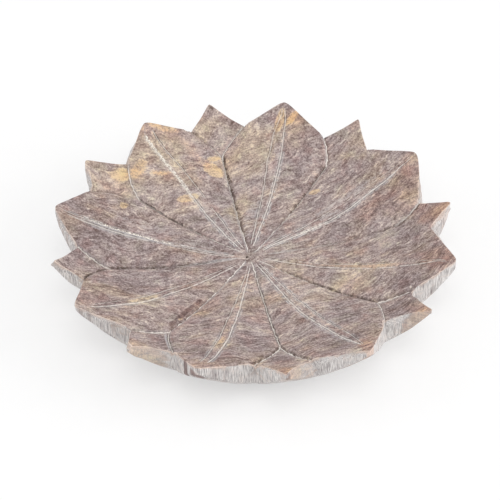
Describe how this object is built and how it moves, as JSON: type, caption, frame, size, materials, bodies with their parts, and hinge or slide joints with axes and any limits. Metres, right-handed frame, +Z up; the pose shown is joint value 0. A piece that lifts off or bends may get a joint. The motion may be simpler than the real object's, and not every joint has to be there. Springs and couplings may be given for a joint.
{
  "type": "incense bowl",
  "caption": "Shallow lotus-shaped incense dish carved from one piece of mottled brown-grey soapstone, with pointed petals round a hollow centre.",
  "frame": {"origin": "middle of the flat base, on the surface the dish stands on", "axes": "+Z up, square to the flat base; +Y from the middle of the dish through the first main petal"},
  "size_m": [0.1204, 0.1189, 0.0199],
  "materials": {
    "soapstone": "hand-rubbed soapstone, mottled brown and purple-grey, with paler raw filed walls"
  },
  "bodies": {
    "root": {"lotus_dish": "soapstone"}
  },
  "joints": []
}
